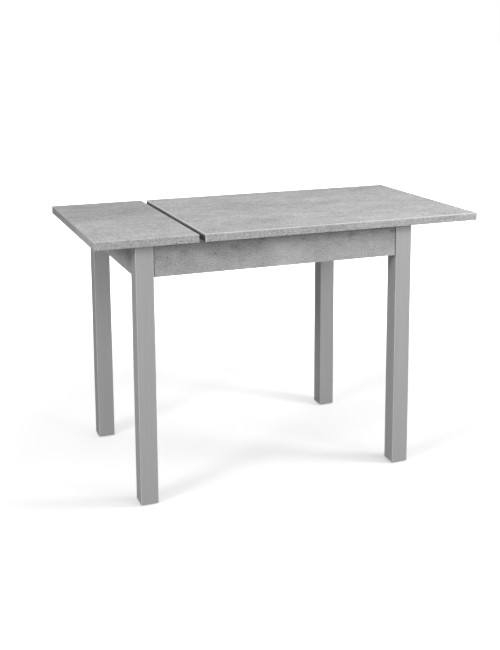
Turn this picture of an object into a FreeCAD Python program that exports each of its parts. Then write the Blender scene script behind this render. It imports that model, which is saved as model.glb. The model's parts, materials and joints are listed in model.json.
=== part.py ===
import FreeCAD, Part
import os
import re
import Sketcher

# An extending table: a main top that slides along a four-legged frame, and a separate leaf that lies on
# the end of the frame that the main top has left bare. Millimetres, +Z up, +X along the table from the
# leaf to the main top. The origin is on the floor, under the middle of the top as it is drawn out.

doc = FreeCAD.newDocument("extending_table")

# Driving dimensions

SIZES = {
    # the two tops
    "height": 750,                # floor to the upper face of the tops
    "top_thickness": 22,
    "top_width": 600,
    "main_length": 845,
    "leaf_length": 285,
    "leaf_gap": 17.5,             # open gap between the leaf and the main top
    "leaf_overhang": 112.5,       # leaf beyond the frame's left end
    "band_thickness": 2,          # edge band round the tops
    "band_radius": 1.2,           # rounded arris of the band
    "slide_clearance": 0.5,       # between the frame and the tops that slide over it
    "slide_travel": 215,          # main top, from closed to the open stop
    # the frame
    "frame_length": 825,
    "frame_width": 568,
    "leg_side": 50,
    "leg_radius": 2,
    "leg_chamfer": 1.5,           # at the foot
    "apron_height": 88,           # from the underside of the tops
    "apron_thickness": 16,
    "apron_recess": 2.5,          # behind the outer faces of the legs
    "apron_joint": 1,             # open joint between an apron's end and the leg
    "apron_band": 1,              # band on the lower edge
    # nail-on glides
    "glide_height": 3,
    "glide_radius": 15,
    "glide_bevel": 1,
    "nail_radius": 1.75,
    "nail_length": 18,
    # guide rails and runners
    "rail_width": 42,
    "rail_height": 32,
    "rail_drop": 1,               # rail below the underside of the tops
    "rail_end_gap": 1,
    "groove_depth": 10,
    "groove_height": 10,
    "groove_drop": 10,            # groove below the rail's upper face
    "runner_width": 22,
    "runner_height": 28,
    "runner_gap": 0.5,            # runner beside the rail, and at the buffers
    "tongue_clearance": 0.3,
    # buffers that the runners strike
    "buffer_length": 4,
    "buffer_radius": 7,
    "buffer_nose": 5,
    # corner plates, with their hanger bolts
    "plate_height": 42,
    "plate_thickness": 2,
    "plate_reach": 14,            # from the leg's inner corner to the plate
    "plate_flange": 30,
    "plate_rise": 8,              # above the lower edge of the apron
    "plate_screw_rise": 10.5,     # screws above and below the middle of the plate
    "bolt_radius": 4,
    "bolt_buried": 40,            # length in the leg
    "bolt_out": 28,
    "bolt_point": 7,
    "washer_radius": 9,
    "washer_thickness": 1.6,
    "nut_corner_radius": 7.5,
    "nut_height": 6.5,
    # dowels
    "dowel_radius": 4,
    "dowel_length": 36,
    "rod_chamfer": 1,             # ends of the dowels and of the bolts
    "dowel_low": 15,              # lower dowel above the apron's lower edge
    "dowel_high": 68,
    # cross bearers, with their angle brackets
    "bearer_width": 60,
    "bearer_thickness": 16,
    "bearer_spacing": 340,
    "bracket_side": 25,
    "bracket_width": 20,
    "bracket_thickness": 2,
    "bracket_screw": 15,          # screw from the bend
    # screws
    "screw_radius": 2.2,
    "screw_head_radius": 4.2,
    "screw_head_edge": 0.4,
    "screw_point": 4,
    "cross_length": 4.4,          # cross recess in the head
    "cross_width": 1,
    "cross_depth": 1.4,
    "rail_screw_length": 50,
    "runner_screw_length": 40,
    "plate_screw_length": 14,
    "pan_radius": 4,
    "pan_height": 2.2,
    "pan_bevel": 0.8,
    "screw_end_margin": 45,       # end screw from the end of its rail or runner
    "hole_clearance": 0.1,
}
SCREWS_PER_RAIL = 5

sheet = doc.addObject("Spreadsheet::Sheet", "sizes")
for row, (name, size) in enumerate(SIZES.items(), start=1):
    sheet.set(f"A{row}", name)
    sheet.set(f"B{row}", str(size))
    sheet.setAlias(f"B{row}", name)
doc.recompute()

# Places that follow from the driving dimensions

TOTAL_LENGTH = "(leaf_length + leaf_gap + main_length)"
LEAF_LEFT = f"(-{TOTAL_LENGTH} / 2)"
LEAF_RIGHT = f"({LEAF_LEFT} + leaf_length)"
MAIN_LEFT = f"({LEAF_RIGHT} + leaf_gap)"
UNDERSIDE = "(height - top_thickness)"
FRAME_TOP = f"({UNDERSIDE} - slide_clearance)"
FRAME_X = f"({LEAF_LEFT} + leaf_overhang + frame_length / 2)"
APRON_BOTTOM = f"({UNDERSIDE} - apron_height)"
# half lengths and half widths of the frame, at the legs' inner faces and at the aprons' two faces
LEG_X = "(frame_length / 2 - leg_side)"
LEG_Y = "(frame_width / 2 - leg_side)"
APRON_SETBACK = "(leg_side - apron_recess - apron_thickness)"
APRON_X = f"({LEG_X} + {APRON_SETBACK})"
APRON_Y = f"({LEG_Y} + {APRON_SETBACK})"
RAIL_FACE = f"({APRON_Y} - rail_width)"
RAIL_TOP = f"({UNDERSIDE} - rail_drop)"
RAIL_BOTTOM = f"({RAIL_TOP} - rail_height)"
GROOVE_TOP = f"({RAIL_TOP} - groove_drop)"
GROOVE_BOTTOM = f"({GROOVE_TOP} - groove_height)"
RUNNER_FACE = f"({RAIL_FACE} - runner_gap)"
RUNNER_Y = f"({RUNNER_FACE} - runner_width / 2)"
RUNNER_BOTTOM = f"({UNDERSIDE} - runner_height)"
# closed, the main top is centred on the frame, and its runners all but touch the left buffers
OPENING = f"({MAIN_LEFT} + main_length / 2 - {FRAME_X})"
RUNNER_REACH = f"({APRON_X} - buffer_length - runner_gap)"
RUNNER_LENGTH = f"(2 * {RUNNER_REACH} - slide_travel)"
RUNNER_LEFT = f"({FRAME_X} - {RUNNER_REACH} + {OPENING})"
PLATE_Z = f"({APRON_BOTTOM} + plate_rise + plate_height / 2)"
BEARER_TOP = f"({APRON_BOTTOM} + apron_band + bearer_thickness)"

ROOT_TWO = "sqrt(2)"
ENDS = {"left": -1, "right": 1}
SIDES = {"front": -1, "back": 1}
CORNERS = [(f"{side}_{end}", sx, sy) for side, sy in SIDES.items() for end, sx in ENDS.items()]

nodes = []


# Helpers

def cells(text):
    """An expression with each size's name written as a reference to its cell."""
    def cell(word):
        return f"sizes.{word[0]}" if word[0] in SIZES else word[0]
    return re.sub(r"[a-z_]+", cell, str(text))


def number(text):
    """The number that an expression on the sheet comes to."""
    return float(sheet.evalExpression(cells(text)))


def node(label, sub_part):
    """Names a finished sub-part and puts it on the list of what is written out."""
    sub_part.Label = label
    nodes.append(sub_part)
    return sub_part


def place(sub_part, corner, quarter_turns=0):
    """Binds an object's place to the sheet, turned about the vertical by quarter turns."""
    sub_part.Placement.Rotation = FreeCAD.Rotation(FreeCAD.Vector(0, 0, 1), 90 * quarter_turns)
    for axis, text in zip("xyz", corner):
        sub_part.setExpression(f"Placement.Base.{axis}", cells(text))


def block(name, size, corner):
    """A rectangular board: its lengths along X, Y and Z, and its lowest corner."""
    box = doc.addObject("Part::Box", name)
    for side, text in zip(("Length", "Width", "Height"), size):
        box.setExpression(side, cells(text))
    place(box, corner)
    return box


def outline(body, plane, corners):
    """A closed polygon on one of the body's planes, each corner held to the sheet."""
    sketch = body.newObject("Sketcher::SketchObject", f"{body.Name}_outline")
    support = next(feature for feature in body.Origin.OriginFeatures if feature.Role == plane)
    sketch.AttachmentSupport = [(support, "")]
    sketch.MapMode = "FlatFace"
    points = [FreeCAD.Vector(number(across), number(up), 0) for across, up in corners]
    count = len(points)
    for i in range(count):
        sketch.addGeometry(Part.LineSegment(points[i], points[(i + 1) % count]))
    for i in range(count):
        sketch.addConstraint(Sketcher.Constraint("Coincident", i, 2, (i + 1) % count, 1))
    for i, corner in enumerate(corners):
        for direction, text in zip(("DistanceX", "DistanceY"), corner):
            row = sketch.addConstraint(Sketcher.Constraint(direction, -1, 1, i, 1, number(text)))
            sketch.setExpression(f"Constraints[{row}]", cells(text))
    return sketch


def extrusion(name, plane, corners, length):
    """A body with one outline, drawn out along the normal of its plane."""
    body = doc.addObject("PartDesign::Body", name)
    pad = body.newObject("PartDesign::Pad", f"{name}_pad")
    pad.Profile = outline(body, plane, corners)
    pad.setExpression("Length", cells(length))
    doc.recompute()
    return body


def turned(name, profile):
    """A body turned about its own Z axis from corners given as radius and height."""
    body = doc.addObject("PartDesign::Body", name)
    turning = body.newObject("PartDesign::Revolution", f"{name}_turning")
    sketch = outline(body, "XZ_Plane", profile)
    turning.Profile = sketch
    turning.ReferenceAxis = (sketch, ["V_Axis"])
    turning.Angle = 360
    doc.recompute()
    return body


def edge_names(feature, wanted):
    """The names of a feature's edges that pass a test."""
    return [f"Edge{i}" for i, edge in enumerate(feature.Shape.Edges, start=1) if wanted(edge)]


def eased(body, kind, size_name, text, wanted):
    """Rounds or chamfers the edges of a body's last feature that pass a test."""
    last = body.Tip
    easing = body.newObject(f"PartDesign::{kind}", f"{body.Name}_{kind.lower()}")
    easing.Base = (last, edge_names(last, wanted))
    easing.setExpression(size_name, cells(text))
    doc.recompute()
    return body


def drilled(label, blank, holes):
    """A blank with the holes of its assembly cut out of it."""
    cut = doc.addObject("Part::Cut", f"{blank.Name}_drilled")
    cut.Base = blank
    cut.Tool = holes
    return node(label, cut)


def at(corner, direction):
    """A placement that points a fastener's own Z axis along a direction."""
    turn = FreeCAD.Rotation(FreeCAD.Vector(0, 0, 1), FreeCAD.Vector(*direction))
    return FreeCAD.Placement(FreeCAD.Vector(*(number(text) for text in corner)), turn)


def copies(template, placements):
    """The template's solid at each placement."""
    shapes = []
    for placement in placements:
        shape = template.Shape.copy()
        shape.Placement = placement
        shapes.append(shape)
    return shapes


def group(name, shapes):
    """One object that holds separate solids."""
    feature = doc.addObject("Part::Feature", name)
    feature.Shape = Part.makeCompound(shapes)
    return feature


# Fasteners: each one is made once, with the hole that it needs

def rod_profile(radius, low, high, chamfer):
    """A plain rod with chamfered ends."""
    return [("0", low), (f"{radius} - {chamfer}", low), (radius, f"{low} + {chamfer}"),
            (radius, f"{high} - {chamfer}"), (f"{radius} - {chamfer}", high), ("0", high)]


def hole_profile(radius, low, high):
    """A straight hole, wider and longer than what goes into it by the clearance."""
    wide = f"{radius} + hole_clearance"
    deep = f"{high} + hole_clearance"
    return [("0", low), (wide, low), (wide, deep), ("0", deep)]


def countersunk_profile(length):
    """A wood screw with a countersunk head whose flat face is at height 0."""
    neck = "screw_head_edge + screw_head_radius - screw_radius"
    return [("0", "0"), ("screw_head_radius", "0"), ("screw_head_radius", "screw_head_edge"),
            ("screw_radius", neck), ("screw_radius", f"{length} - screw_point"), ("0", length)]


def countersink_profile(length):
    """The hole of a countersunk screw."""
    head = "screw_head_radius + hole_clearance"
    shank = "screw_radius + hole_clearance"
    edge = "screw_head_edge + hole_clearance"
    deep = f"{length} + hole_clearance"
    return [("0", "0"), (head, "0"), (head, edge), (shank, f"{edge} + screw_head_radius - screw_radius"),
            (shank, deep), ("0", deep)]


def pan_profile(length):
    """A wood screw with a raised head that sits on height 0."""
    return [("0", "-pan_height"), ("pan_radius - pan_bevel", "-pan_height"),
            ("pan_radius", "pan_bevel - pan_height"), ("pan_radius", "0"), ("screw_radius", "0"),
            ("screw_radius", f"{length} - screw_point"), ("0", length)]


def crossed(name, screw, face):
    """A screw with a cross recess sunk into the flat of its head, which is at a given height."""
    size = ("cross_length", "cross_width", "cross_depth")
    long_way = block(f"{name}_slot", size, ("-cross_length / 2", "-cross_width / 2", face))
    short_way = block(f"{name}_cross_slot", (size[1], size[0], size[2]),
                      ("-cross_width / 2", "-cross_length / 2", face))
    recess = doc.addObject("Part::Fuse", f"{name}_recess")
    recess.Base = long_way
    recess.Tool = short_way
    cut = doc.addObject("Part::Cut", name)
    cut.Base = screw
    cut.Tool = recess
    doc.recompute()
    return cut


rail_screw_blank = turned("rail_screw_blank", countersunk_profile("rail_screw_length"))
rail_screw = crossed("rail_screw", rail_screw_blank, "0")
rail_screw_hole = turned("rail_screw_hole", countersink_profile("rail_screw_length"))
runner_screw_blank = turned("runner_screw_blank", countersunk_profile("runner_screw_length"))
runner_screw = crossed("runner_screw", runner_screw_blank, "0")
runner_screw_hole = turned("runner_screw_hole", countersink_profile("runner_screw_length"))
plate_screw_blank = turned("plate_screw_blank", pan_profile("plate_screw_length"))
plate_screw = crossed("plate_screw", plate_screw_blank, "-pan_height")
plate_screw_hole = turned("plate_screw_hole", hole_profile("screw_radius", "0", "plate_screw_length"))
dowel = turned("dowel", rod_profile("dowel_radius", "-dowel_length / 2", "dowel_length / 2",
                                    "rod_chamfer"))
dowel_hole = turned("dowel_hole", hole_profile("dowel_radius", "-dowel_length / 2 - hole_clearance",
                                               "dowel_length / 2"))
bolt = turned("bolt", [("0", "-bolt_buried"), ("bolt_radius", "bolt_point - bolt_buried"),
                       ("bolt_radius", "bolt_out - rod_chamfer"),
                       ("bolt_radius - rod_chamfer", "bolt_out"), ("0", "bolt_out")])
bolt_hole = turned("bolt_hole", hole_profile("bolt_radius", "-bolt_buried - hole_clearance", "bolt_out"))
WASHER_HOLE = "bolt_radius + 2 * hole_clearance"
washer = turned("washer", [(WASHER_HOLE, "0"), ("washer_radius", "0"),
                           ("washer_radius", "washer_thickness"), (WASHER_HOLE, "washer_thickness")])
nail_hole = turned("nail_hole", hole_profile("nail_radius", "0", "nail_length"))


def hexagon_nut():
    """A hexagon nut on the bolt, standing on height 0."""
    prism = doc.addObject("Part::Prism", "nut_prism")
    prism.Polygon = 6
    prism.setExpression("Circumradius", cells("nut_corner_radius"))
    prism.setExpression("Height", cells("nut_height"))
    thread = doc.addObject("Part::Cylinder", "nut_thread")
    thread.setExpression("Radius", cells("bolt_radius + hole_clearance"))
    thread.setExpression("Height", cells("nut_height"))
    cut = doc.addObject("Part::Cut", "nut")
    cut.Base = prism
    cut.Tool = thread
    doc.recompute()
    return cut


nut = hexagon_nut()

# Where the fasteners go

rail_screw_places = []
runner_screw_places = []
for sy in SIDES.values():
    for i in range(SCREWS_PER_RAIL):
        share = i / (SCREWS_PER_RAIL - 1) - 0.5
        rail_x = f"{FRAME_X} + {share} * (2 * {LEG_X} - 2 * screw_end_margin)"
        rail_z = f"({RAIL_BOTTOM} + {GROOVE_BOTTOM}) / 2"
        rail_screw_places.append(at((rail_x, f"{sy} * {RAIL_FACE}", rail_z), (0, sy, 0)))
        runner_middle = f"{RUNNER_LEFT} + {RUNNER_LENGTH} / 2"
        runner_x = f"{runner_middle} + {share} * ({RUNNER_LENGTH} - 2 * screw_end_margin)"
        runner_screw_places.append(at((runner_x, f"{sy} * {RUNNER_Y}", RUNNER_BOTTOM), (0, 0, 1)))

# A corner's own axes start at the leg's inner corner and run inwards along the frame.
# The plate lies across them, so that a point at the same distance on both is on the hanger bolt's line.
PLATE_LINE = f"(plate_reach * {ROOT_TWO})"
FLANGE_START = f"({PLATE_LINE} + {APRON_SETBACK})"
FLANGE_MIDDLE = f"({FLANGE_START} + plate_flange / 2)"
FLANGE_FACE = f"(plate_thickness - {APRON_SETBACK})"


def corner_point(sx, sy, along, across):
    """A corner's own distances as the frame's X and Y."""
    return f"{FRAME_X} + {sx} * ({LEG_X} - ({along}))", f"{sy} * ({LEG_Y} - ({across}))"


bolt_places = []
washer_places = []
nut_places = []
plate_screw_places = []
dowel_places = []
for corner, sx, sy in CORNERS:
    inwards = (-sx, -sy, 0)
    leg_corner = corner_point(sx, sy, "0", "0")
    bolt_places.append(at((*leg_corner, PLATE_Z), inwards))
    stack = "plate_reach + plate_thickness"
    for places, distance in ((washer_places, stack), (nut_places, f"{stack} + washer_thickness")):
        step = f"({distance}) / {ROOT_TWO}"
        places.append(at((*corner_point(sx, sy, step, step), PLATE_Z), inwards))
    for up in (-1, 1):
        screw_z = f"{PLATE_Z} + {up} * plate_screw_rise"
        long_side = corner_point(sx, sy, FLANGE_MIDDLE, FLANGE_FACE)
        short_side = corner_point(sx, sy, FLANGE_FACE, FLANGE_MIDDLE)
        plate_screw_places.append(at((*long_side, screw_z), (0, sy, 0)))
        plate_screw_places.append(at((*short_side, screw_z), (sx, 0, 0)))
    for up in ("dowel_low", "dowel_high"):
        dowel_z = f"{APRON_BOTTOM} + {up}"
        middle = f"-{APRON_SETBACK} - apron_thickness / 2"
        dowel_places.append(at((*corner_point(sx, sy, "0", middle), dowel_z), (1, 0, 0)))
        dowel_places.append(at((*corner_point(sx, sy, middle, "0"), dowel_z), (0, 1, 0)))

bearer_screw_places = []
for sx in ENDS.values():
    for sy in SIDES.values():
        bearer_x = f"{FRAME_X} + {sx} * bearer_spacing / 2"
        wall_y = f"{sy} * ({APRON_Y} - bracket_thickness)"
        wall_z = f"{BEARER_TOP} + bracket_screw"
        floor_y = f"{sy} * ({APRON_Y} - bracket_screw)"
        floor_z = f"{BEARER_TOP} + bracket_thickness"
        bearer_screw_places.append(at((bearer_x, wall_y, wall_z), (0, sy, 0)))
        bearer_screw_places.append(at((bearer_x, floor_y, floor_z), (0, 0, -1)))

glide_places = []
for corner, sx, sy in CORNERS:
    centre = corner_point(sx, sy, "-leg_side / 2", "-leg_side / 2")
    glide_places.append(at((*centre, "glide_height"), (0, 0, 1)))

frame_holes = group("frame_holes", copies(rail_screw_hole, rail_screw_places)
                    + copies(plate_screw_hole, plate_screw_places + bearer_screw_places)
                    + copies(bolt_hole, bolt_places)
                    + copies(dowel_hole, dowel_places)
                    + copies(nail_hole, glide_places))
main_holes = group("main_holes", copies(runner_screw_hole, runner_screw_places))


# Frame: legs and glides

def is_upright(edge):
    """True for an edge that runs along Z."""
    return edge.BoundBox.ZLength > edge.BoundBox.XLength + edge.BoundBox.YLength


def is_at_foot(edge):
    """True for an edge of the lowest face."""
    return edge.BoundBox.ZMax < number("leg_chamfer") / 2


SQUARE = [("0", "0"), ("leg_side", "0"), ("leg_side", "leg_side"), ("0", "leg_side")]
for corner, sx, sy in CORNERS:
    leg = extrusion(f"leg_blank_{corner}", "XY_Plane", SQUARE, f"{FRAME_TOP} - glide_height")
    eased(leg, "Fillet", "Radius", "leg_radius", is_upright)
    eased(leg, "Chamfer", "Size", "leg_chamfer", is_at_foot)
    low_x = f"{FRAME_X} + {sx} * (frame_length - leg_side) / 2 - leg_side / 2"
    low_y = f"{sy} * (frame_width - leg_side) / 2 - leg_side / 2"
    place(leg, (low_x, low_y, "glide_height"))
    drilled(f"leg_{corner}", leg, frame_holes)

    glide = turned(f"glide_turning_{corner}",
                   [("0", "0"), ("glide_radius - glide_bevel", "0"), ("glide_radius", "glide_bevel"),
                    ("glide_radius", "glide_height"), ("nail_radius", "glide_height"),
                    ("nail_radius", "glide_height + nail_length - nail_radius"),
                    ("0", "glide_height + nail_length")])
    centre = corner_point(sx, sy, "-leg_side / 2", "-leg_side / 2")
    place(glide, (*centre, "0"))
    node(f"glide_{corner}", glide)

# Frame: aprons, with a band on each lower edge

APRON_LOW = f"{APRON_BOTTOM} + apron_band"
APRON_BOARD = f"{FRAME_TOP} - {APRON_BOTTOM} - apron_band"
for side, sy in SIDES.items():
    length = f"2 * ({LEG_X} - apron_joint)"
    low_x = f"{FRAME_X} - {LEG_X} + apron_joint"
    low_y = f"{sy} * ({APRON_Y} + apron_thickness / 2) - apron_thickness / 2"
    board = block(f"apron_board_{side}", (length, "apron_thickness", APRON_BOARD),
                  (low_x, low_y, APRON_LOW))
    drilled(f"apron_{side}", board, frame_holes)
    node(f"apron_band_{side}", block(f"apron_strip_{side}", (length, "apron_thickness", "apron_band"),
                                     (low_x, low_y, APRON_BOTTOM)))
for end, sx in ENDS.items():
    length = f"2 * ({LEG_Y} - apron_joint)"
    low_x = f"{FRAME_X} + {sx} * ({APRON_X} + apron_thickness / 2) - apron_thickness / 2"
    low_y = f"apron_joint - {LEG_Y}"
    board = block(f"apron_board_{end}", ("apron_thickness", length, APRON_BOARD),
                  (low_x, low_y, APRON_LOW))
    drilled(f"apron_{end}", board, frame_holes)
    node(f"apron_band_{end}", block(f"apron_strip_{end}", ("apron_thickness", length, "apron_band"),
                                    (low_x, low_y, APRON_BOTTOM)))

# Frame: corner plates, bent round the inner corner of each leg

DIAGONAL_START = f"({PLATE_LINE} + plate_thickness * {ROOT_TWO} - {FLANGE_FACE})"
FLANGE_END = f"({FLANGE_START} + plate_flange)"
PLATE_OUTLINE = [(FLANGE_END, f"-{APRON_SETBACK}"), (FLANGE_START, f"-{APRON_SETBACK}"),
                 (f"-{APRON_SETBACK}", FLANGE_START), (f"-{APRON_SETBACK}", FLANGE_END),
                 (FLANGE_FACE, FLANGE_END), (FLANGE_FACE, DIAGONAL_START),
                 (DIAGONAL_START, FLANGE_FACE), (FLANGE_END, FLANGE_FACE)]
for corner, sx, sy in CORNERS:
    points = [corner_point(sx, sy, along, across) for along, across in PLATE_OUTLINE]
    plate = extrusion(f"plate_blank_{corner}", "XY_Plane", points, "plate_height")
    place(plate, ("0", "0", f"{PLATE_Z} - plate_height / 2"))
    drilled(f"corner_plate_{corner}", plate, frame_holes)

# Frame: guide rails, with a groove along their inner faces

for side, sy in SIDES.items():
    floor_y = f"({RAIL_FACE} + groove_depth)"
    profile = [(APRON_Y, RAIL_BOTTOM), (APRON_Y, RAIL_TOP), (RAIL_FACE, RAIL_TOP), (RAIL_FACE, GROOVE_TOP),
               (floor_y, GROOVE_TOP), (floor_y, GROOVE_BOTTOM), (RAIL_FACE, GROOVE_BOTTOM),
               (RAIL_FACE, RAIL_BOTTOM)]
    points = [(f"{sy} * {across}", up) for across, up in profile]
    rail = extrusion(f"rail_blank_{side}", "YZ_Plane", points, f"2 * {LEG_X} - 2 * rail_end_gap")
    place(rail, (f"{FRAME_X} - {LEG_X} + rail_end_gap", "0", "0"))
    drilled(f"guide_rail_{side}", rail, frame_holes)

# Frame: cross bearers and their angle brackets

BRACKET_EDGE = f"({APRON_Y} - bracket_side)"
BRACKET_WALL = f"({APRON_Y} - bracket_thickness)"
brackets = []
for end, sx in ENDS.items():
    bearer_x = f"{FRAME_X} + {sx} * bearer_spacing / 2"
    board = block(f"bearer_board_{end}", ("bearer_width", f"2 * {APRON_Y}", "bearer_thickness"),
                  (f"{bearer_x} - bearer_width / 2", f"-{APRON_Y}", f"{BEARER_TOP} - bearer_thickness"))
    drilled(f"bearer_{end}", board, frame_holes)
    for side, sy in SIDES.items():
        profile = [(APRON_Y, BEARER_TOP), (APRON_Y, f"{BEARER_TOP} + bracket_side"),
                   (BRACKET_WALL, f"{BEARER_TOP} + bracket_side"),
                   (BRACKET_WALL, f"{BEARER_TOP} + bracket_thickness"),
                   (BRACKET_EDGE, f"{BEARER_TOP} + bracket_thickness"), (BRACKET_EDGE, BEARER_TOP)]
        points = [(f"{sy} * {across}", up) for across, up in profile]
        bracket = extrusion(f"bracket_blank_{side}_{end}", "YZ_Plane", points, "bracket_width")
        place(bracket, (f"{bearer_x} - bracket_width / 2", "0", "0"))
        cut = doc.addObject("Part::Cut", f"bracket_{side}_{end}")
        cut.Base = bracket
        cut.Tool = frame_holes
        brackets.append(cut)
doc.recompute()
node("bearer_brackets", group("bearer_bracket_set", [bracket.Shape.copy() for bracket in brackets]))

# Frame: rubber buffers on the end aprons, in line with the runners

rubber = turned("buffer", [("0", "0"), ("buffer_radius", "0"), ("buffer_nose", "buffer_length"),
                           ("0", "buffer_length")])
buffer_places = []
for sx in ENDS.values():
    for sy in SIDES.values():
        runner_middle = f"{RUNNER_BOTTOM} + runner_height / 2"
        spot = (f"{FRAME_X} + {sx} * {APRON_X}", f"{sy} * {RUNNER_Y}", runner_middle)
        buffer_places.append(at(spot, (-sx, 0, 0)))
node("stop_buffers", group("buffer_set", copies(rubber, buffer_places)))

# Frame: fasteners

node("rail_screws", group("rail_screw_set", copies(rail_screw, rail_screw_places)))
node("corner_screws", group("corner_screw_set", copies(plate_screw, plate_screw_places)))
node("bearer_screws", group("bearer_screw_set", copies(plate_screw, bearer_screw_places)))
node("apron_dowels", group("apron_dowel_set", copies(dowel, dowel_places)))
node("hanger_bolts", group("hanger_bolt_set", copies(bolt, bolt_places)))
node("bolt_washers", group("bolt_washer_set", copies(washer, washer_places)))
node("bolt_nuts", group("bolt_nut_set", copies(nut, nut_places)))


# The two tops: a board with a rounded band on each of its four edges

def is_on_outer_face(edge):
    """True for an edge of a band's outer face, which is its own plane Y = 0."""
    return edge.BoundBox.YMax < number("band_thickness") / 2


def edge_band(name, length, corner, quarter_turns):
    """A band that lies along its own X axis, with its outer face turned to -Y and its arrises rounded."""
    strip = [("0", "0"), (length, "0"), (length, "band_thickness"), ("0", "band_thickness")]
    band = extrusion(name, "XY_Plane", strip, "top_thickness")
    eased(band, "Fillet", "Radius", "band_radius", is_on_outer_face)
    place(band, corner, quarter_turns)
    return band


def banded_top(name, left, length):
    """A board with its four bands round it: the front and back bands cover the ends of the other two."""
    half_width = "(top_width / 2)"
    inner_half = f"({half_width} - band_thickness)"
    right = f"({left} + {length})"
    board = block(f"{name}_board", (f"{length} - 2 * band_thickness", f"2 * {inner_half}", "top_thickness"),
                  (f"{left} + band_thickness", f"-{inner_half}", UNDERSIDE))
    bands = [("front", length, left, f"-{half_width}", 0),
             ("right", f"2 * {inner_half}", right, f"-{inner_half}", 1),
             ("back", length, right, half_width, 2),
             ("left", f"2 * {inner_half}", left, inner_half, 3)]
    for edge, run, x, y, quarter_turns in bands:
        node(f"{name}_band_{edge}",
             edge_band(f"{name}_strip_{edge}", run, (x, y, UNDERSIDE), quarter_turns))
    return board


drilled("main_top_panel", banded_top("main_top", MAIN_LEFT, "main_length"), main_holes)
node("leaf_panel", banded_top("leaf", LEAF_LEFT, "leaf_length"))

# Main top: runners, whose tongues slide in the grooves of the rails and hold the top down

TONGUE_TIP = f"({RAIL_FACE} + groove_depth - runner_gap)"
TONGUE_TOP = f"({GROOVE_TOP} - tongue_clearance)"
TONGUE_BOTTOM = f"({GROOVE_BOTTOM} + tongue_clearance)"
RUNNER_BACK = f"({RUNNER_FACE} - runner_width)"
for side, sy in SIDES.items():
    profile = [(RUNNER_FACE, RUNNER_BOTTOM), (RUNNER_FACE, TONGUE_BOTTOM), (TONGUE_TIP, TONGUE_BOTTOM),
               (TONGUE_TIP, TONGUE_TOP), (RUNNER_FACE, TONGUE_TOP), (RUNNER_FACE, UNDERSIDE),
               (RUNNER_BACK, UNDERSIDE), (RUNNER_BACK, RUNNER_BOTTOM)]
    points = [(f"{sy} * {across}", up) for across, up in profile]
    runner = extrusion(f"runner_blank_{side}", "YZ_Plane", points, RUNNER_LENGTH)
    place(runner, (RUNNER_LEFT, "0", "0"))
    drilled(f"runner_{side}", runner, main_holes)
node("runner_screws", group("runner_screw_set", copies(runner_screw, runner_screw_places)))

# Check everything, then write each sub-part to its own file

doc.recompute()
for item in doc.Objects:
    if "Invalid" in item.State or "Error" in item.State:
        raise RuntimeError(f"{item.Label} failed: {item.State}")
os.makedirs("parts", exist_ok=True)
for sub_part in nodes:
    shape = sub_part.Shape
    if shape.isNull() or not shape.isValid() or not shape.Solids:
        raise RuntimeError(f"{sub_part.Label} has no valid solid")
for sub_part in nodes:
    sub_part.Shape.exportStep(f"parts/{sub_part.Label}.step")
    print(f"{sub_part.Label}: {len(sub_part.Shape.Solids)} solids, {sub_part.Shape.Volume / 1000:.1f} cm3")
print(f"{len(nodes)} nodes")
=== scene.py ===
# %% [markdown]
# # An extending table, dressed for a studio picture
# The real table is a painted wooden frame that carries two boards: a main top that slides on rails, and a
# loose leaf that lies on the bared end. Every board, leg, plate and screw has been made as a solid already,
# so this lesson loads those solids and gives them what a solid lacks: finish, light and a camera.
# The solids stay where they are. A few small pieces whose surface is finer than a solid's are made anew.

# %% Load the table
import json
import math
import bpy
import numpy as np
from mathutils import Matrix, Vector


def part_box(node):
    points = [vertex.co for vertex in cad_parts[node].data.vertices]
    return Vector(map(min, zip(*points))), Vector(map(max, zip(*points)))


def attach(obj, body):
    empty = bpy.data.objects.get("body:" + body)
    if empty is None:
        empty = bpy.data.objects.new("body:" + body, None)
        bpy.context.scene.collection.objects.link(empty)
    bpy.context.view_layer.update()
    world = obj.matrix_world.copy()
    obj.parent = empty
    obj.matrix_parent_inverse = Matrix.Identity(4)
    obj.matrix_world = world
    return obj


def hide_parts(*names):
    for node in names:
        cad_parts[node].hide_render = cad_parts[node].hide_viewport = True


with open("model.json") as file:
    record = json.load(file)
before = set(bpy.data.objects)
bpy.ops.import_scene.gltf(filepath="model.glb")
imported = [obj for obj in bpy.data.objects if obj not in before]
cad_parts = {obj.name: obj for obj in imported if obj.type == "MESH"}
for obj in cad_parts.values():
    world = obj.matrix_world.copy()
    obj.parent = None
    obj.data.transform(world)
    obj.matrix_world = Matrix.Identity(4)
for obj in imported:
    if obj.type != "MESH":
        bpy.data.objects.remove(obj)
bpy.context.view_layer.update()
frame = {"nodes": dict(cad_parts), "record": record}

NODES = frame["nodes"]
MM = 0.001

# %% [markdown]
# ## Helpers for materials
# Colours are noted as a paint chart would give them, in sRGB hex, but a renderer adds up light, so each one
# is turned to linear first. A material is a graph of nodes, and one small function adds a node with its
# settings and its links. With only that, a material below reads from top to bottom like a recipe.

# %% Colour and node helpers
def paint(code):
    """An sRGB hex colour as linear RGBA: c / 12.92 below 0.04045, and ((c + 0.055) / 1.055) ^ 2.4 above."""
    srgb = np.array([int(code[i:i + 2], 16) for i in (1, 3, 5)]) / 255
    linear = np.where(srgb <= 0.04045, srgb / 12.92, ((srgb + 0.055) / 1.055) ** 2.4)
    return (*linear.tolist(), 1.0)


def add(tree, kind, settings=None, inputs=None):
    """Adds a node. Settings are its own properties; an input is a plain value, or a socket to link from."""
    node = tree.nodes.new(kind)
    for name, value in (settings or {}).items():
        setattr(node, name, value)
    for name, value in (inputs or {}).items():
        if isinstance(value, bpy.types.NodeSocket):
            tree.links.new(value, node.inputs[name])
        else:
            node.inputs[name].default_value = value
    return node


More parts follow.
